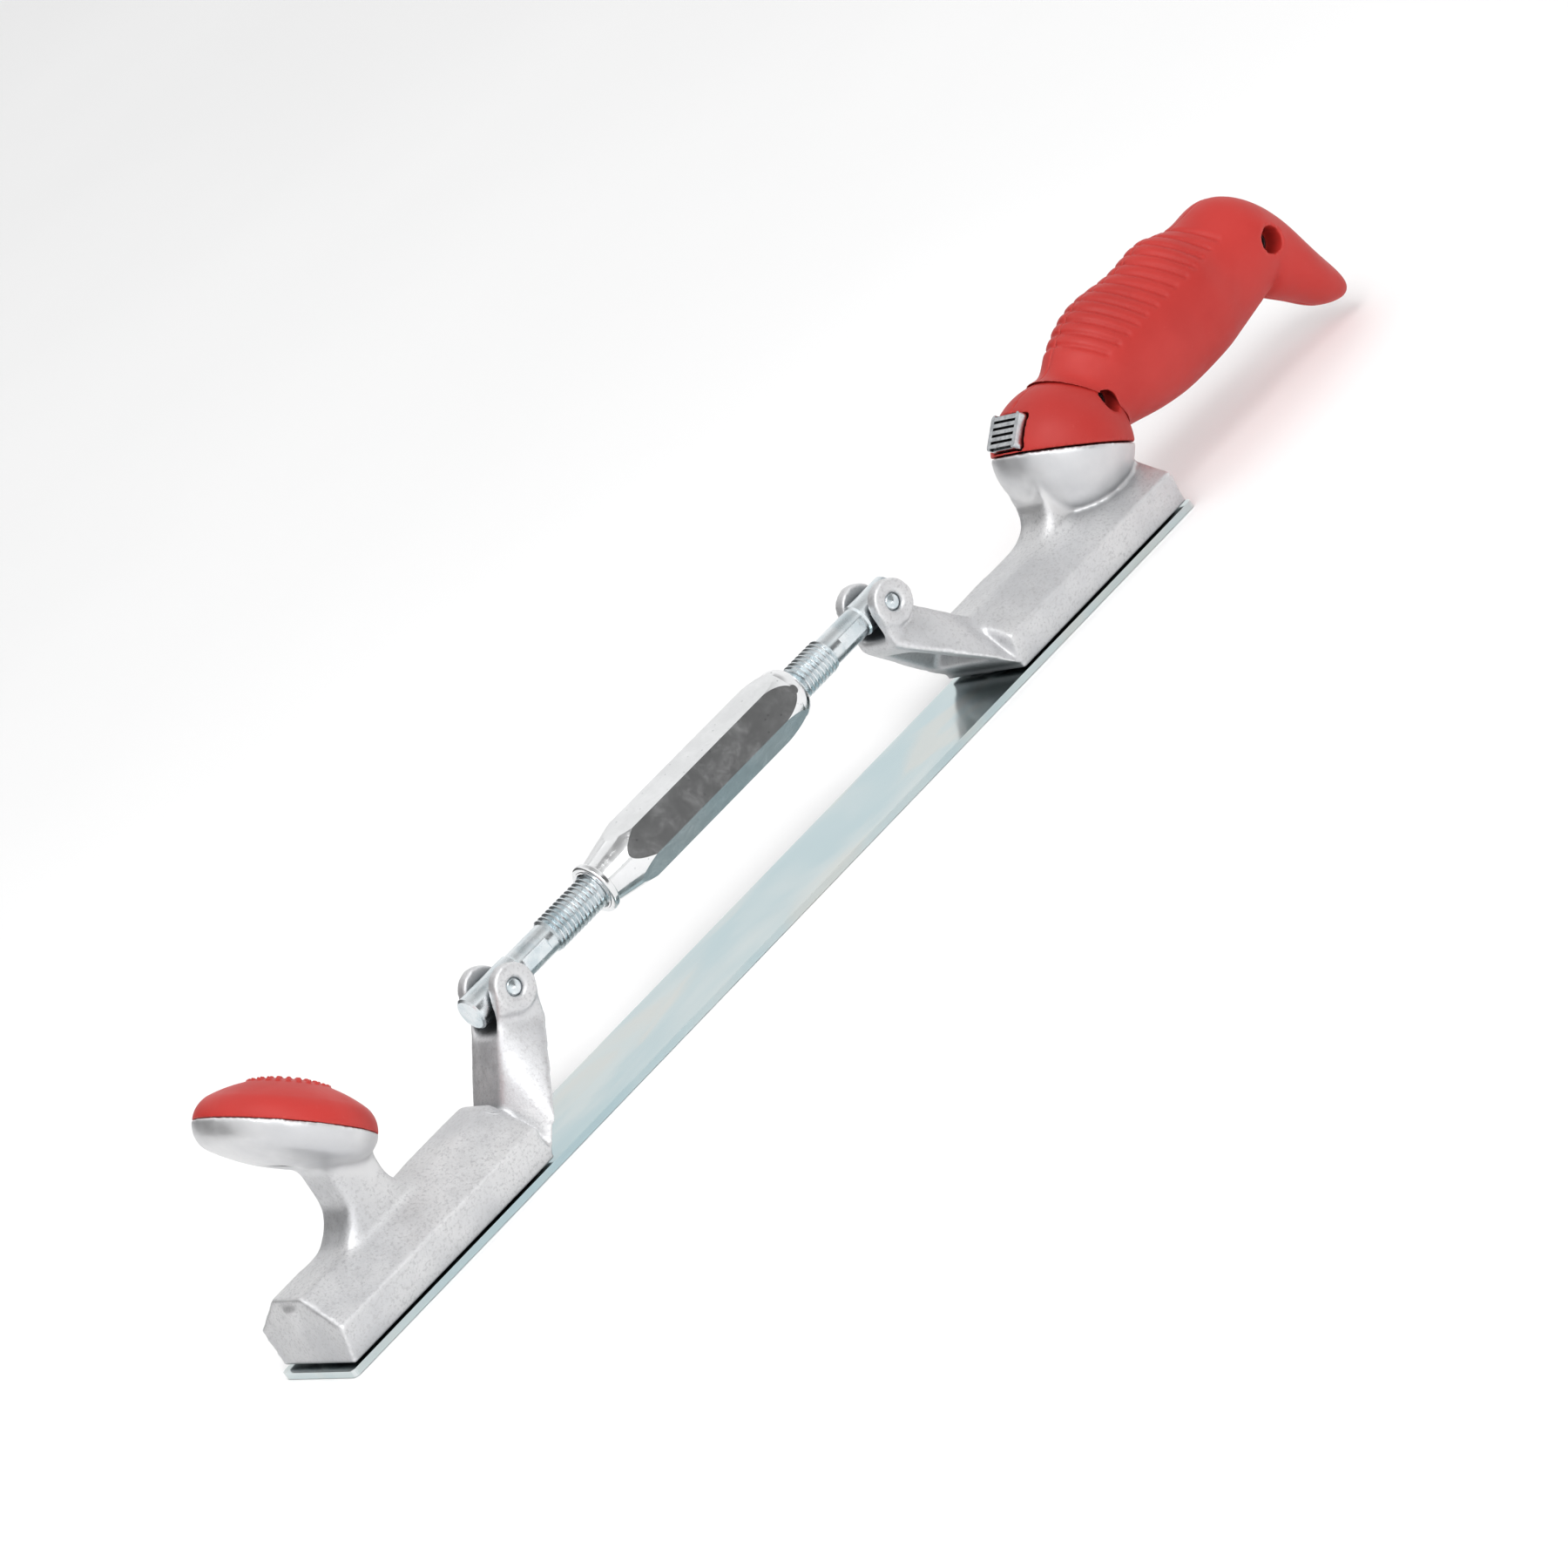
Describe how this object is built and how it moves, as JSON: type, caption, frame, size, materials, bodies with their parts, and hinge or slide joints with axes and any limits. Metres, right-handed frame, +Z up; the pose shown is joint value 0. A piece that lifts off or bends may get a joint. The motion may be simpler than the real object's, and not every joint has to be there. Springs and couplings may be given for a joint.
{
  "type": "flexible body file holder",
  "caption": "Adjustable body file holder: two cast shoes on a spring strip bent by a turnbuckle, with a front knob and a swivel rear handle.",
  "frame": {"origin": "middle of the strip's underside, where the file blade lies", "axes": "+X along the strip from the knob to the handle, +Y across it, +Z up, away from the file blade"},
  "size_m": [0.4423, 0.0466, 0.0721],
  "materials": {
    "casting": "satin",
    "zinc_strip": "zinc plated",
    "red_plastic": "satin",
    "dark_screws": "black oxide",
    "plated_steel": "zinc plated",
    "bright_chrome": "polished"
  },
  "bodies": {
    "front": {"front_shoe": "casting", "spring_strip": "zinc_strip", "front_strip_screws": "dark_screws", "knob_pad": "red_plastic", "knob_screw": "dark_screws", "front_pivot_pin": "plated_steel"},
    "front_link": {"front_rod": "plated_steel"},
    "ring": {"marking_ring": "bright_chrome"},
    "sleeve": {"turnbuckle_sleeve": "bright_chrome"},
    "rear_link": {"rear_rod": "plated_steel"},
    "rear": {"rear_shoe": "casting", "rear_strip_screws": "dark_screws", "rear_pivot_pin": "plated_steel", "index_plate": "plated_steel", "swivel_bolt": "plated_steel", "swivel_washer": "plated_steel", "swivel_nut": "plated_steel"},
    "handle": {"handle_left": "red_plastic", "handle_right": "red_plastic", "handle_screws": "dark_screws"},
    "latch": {"release_button": "bright_chrome", "locking_pawl": "plated_steel"}
  },
  "joints": [
    {"name": "strip_flex", "type": "hinge", "parent": "front", "child": "rear", "pos_m": [0.00325, 0, 0.001], "axis": [0, -1, 0], "range_deg": [-8, 8], "deforming": ["spring_strip"]},
    {"name": "front_link_pivot", "type": "hinge", "parent": "front", "child": "front_link", "pos_m": [-0.071, 0, 0.039], "axis": [0, -1, 0], "range_deg": [-4.5, 4.5]},
    {"name": "sleeve_travel", "type": "slide", "parent": "front_link", "child": "ring", "axis": [-1, 0, 0], "range_m": [-0.0028, 0.0028]},
    {"name": "sleeve_spin", "type": "hinge", "parent": "ring", "child": "sleeve", "pos_m": [0.009, 0, 0.039], "axis": [1, 0, 0], "range_deg": [-640, 640]},
    {"name": "rear_rod_travel", "type": "slide", "parent": "front_link", "child": "rear_link", "axis": [-1, 0, 0], "range_m": [-0.0055, 0.0055]},
    {"name": "handle_swivel", "type": "hinge", "parent": "rear", "child": "handle", "pos_m": [0.1614, 0, 0.0313], "axis": [0.5592, 0, 0.829], "continuous": true},
    {"name": "button_press", "type": "slide", "parent": "handle", "child": "latch", "axis": [0.5948, 0, -0.8039], "range_m": [0, 0.0025], "stiffness_N_per_m": 800, "springref_m": -0.001}
  ],
  "couplings": [
    {"joint": "front_link_pivot", "follows": "strip_flex", "ratio": 0.52586},
    {"joint": "sleeve_travel", "follows": "strip_flex", "m_per_rad": 0.019},
    {"joint": "sleeve_spin", "follows": "strip_flex", "ratio": 79.587},
    {"joint": "rear_rod_travel", "follows": "strip_flex", "m_per_rad": 0.038}
  ]
}
